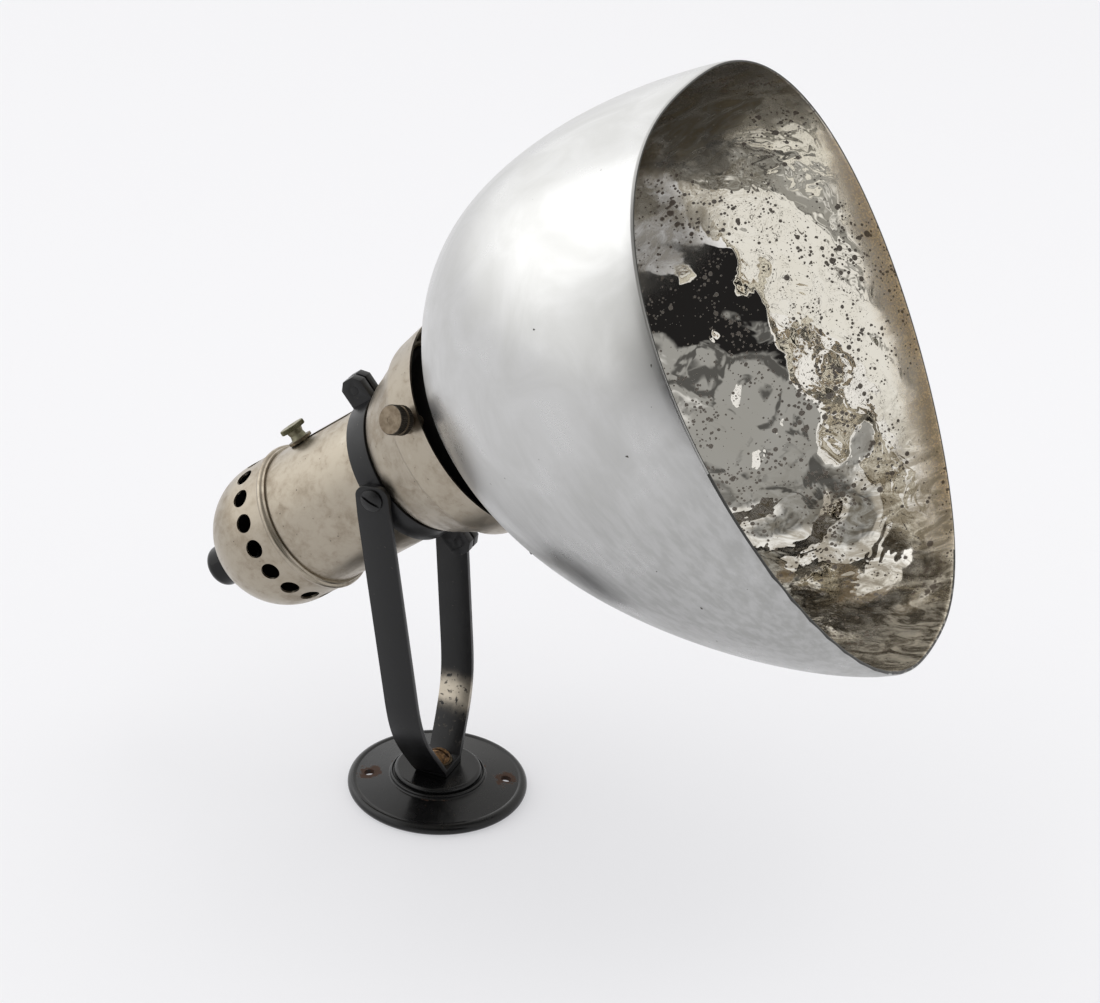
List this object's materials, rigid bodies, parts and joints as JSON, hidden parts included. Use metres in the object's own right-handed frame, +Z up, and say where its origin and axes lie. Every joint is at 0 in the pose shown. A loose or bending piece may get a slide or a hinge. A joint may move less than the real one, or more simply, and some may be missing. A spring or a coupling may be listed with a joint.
{
  "type": "dental operating light",
  "caption": "Bracket dental light with a silvered glass scoop reflector held in a gallery on a vented lamp housing, tilting in a strap yoke that swivels on a round flange.",
  "frame": {"origin": "centre of the flange's underside", "axes": "+Z up from the mounting face, +X the way the head points at rest, Y along the tilt axis"},
  "size_m": [0.331, 0.2322, 0.3505],
  "materials": {
    "black_enamel": "black stoving enamel, glossy on the flange and satin on the strap",
    "nickel_plate": "warm grey nickel plate on spun brass, mottled with a brownish patina",
    "spring_steel": "dull spring steel",
    "aged_brass": "dark olive-brown aged brass",
    "bright_brass": "turned brass, lightly tarnished",
    "porcelain": "glazed white porcelain",
    "black_composition": "polished black moulded composition",
    "clear_glass": "clear blown glass",
    "tungsten_wire": "dull grey wire",
    "silvered_glass": "rippled silvered mirror inside with dark specks, satin aluminium paint outside"
  },
  "bodies": {
    "base": {"base_flange": "black_enamel", "swivel_screw": "aged_brass", "swivel_washer": "aged_brass", "friction_washer": "spring_steel", "swivel_nut": "aged_brass"},
    "yoke": {"yoke_strap": "black_enamel"},
    "head": {"pivot_screws": "black_enamel", "collar_near": "black_enamel", "collar_far": "black_enamel", "collar_bolts": "black_enamel", "housing_tube": "nickel_plate", "vent_cap": "nickel_plate", "cord_bushing": "black_composition", "holder_neck": "nickel_plate", "gallery_ring": "nickel_plate"},
    "lampholder": {"carriage": "bright_brass", "focus_washer": "aged_brass", "socket_body": "porcelain", "socket_sleeve": "bright_brass", "centre_contact": "bright_brass", "terminal_screws": "bright_brass", "socket_nut": "bright_brass", "bulb_cap": "bright_brass", "bulb_contact": "bright_brass", "bulb_glass": "clear_glass", "bulb_stem": "clear_glass", "filament": "tungsten_wire"},
    "focus_knob": {"focus_screw": "aged_brass"},
    "thumb_near": {"thumbscrew_near": "aged_brass"},
    "thumb_far": {"thumbscrew_far": "aged_brass"},
    "thumb_low": {"thumbscrew_low": "aged_brass"},
    "shade": {"reflector": "silvered_glass"}
  },
  "joints": [
    {"name": "yoke_swivel", "type": "hinge", "parent": "base", "child": "yoke", "pos_m": [0, 0, 0.0125], "axis": [0, 0, 1], "continuous": true},
    {"name": "head_tilt", "type": "hinge", "parent": "yoke", "child": "head", "pos_m": [-0.0174, 0, 0.1588], "axis": [0, -1, 0], "range_deg": [-40, 30]},
    {"name": "focus_slide", "type": "slide", "parent": "head", "child": "lampholder", "axis": [0.7727, 0, 0.6347], "range_m": [0, 0.028]},
    {"name": "focus_screw_turn", "type": "hinge", "parent": "lampholder", "child": "focus_knob", "pos_m": [-0.07145, 0, 0.1597], "axis": [-0.6347, 0, 0.7727], "continuous": true},
    {"name": "thumb_near_turn", "type": "hinge", "parent": "head", "child": "thumb_near", "pos_m": [-0.00009, -0.04277, 0.20122], "axis": [-0.2882, -0.891, 0.3508], "continuous": true},
    {"name": "thumb_far_turn", "type": "hinge", "parent": "head", "child": "thumb_far", "pos_m": [-0.00009, 0.04277, 0.20122], "axis": [-0.2882, 0.891, 0.3508], "continuous": true},
    {"name": "thumb_low_turn", "type": "hinge", "parent": "head", "child": "thumb_low", "pos_m": [0.04374, -0.00834, 0.14785], "axis": [0.6251, -0.1736, -0.761], "continuous": true},
    {"name": "reflector_turn", "type": "hinge", "parent": "head", "child": "shade", "pos_m": [0.01374, 0, 0.18438], "axis": [0.7727, 0, 0.6347], "continuous": true}
  ]
}
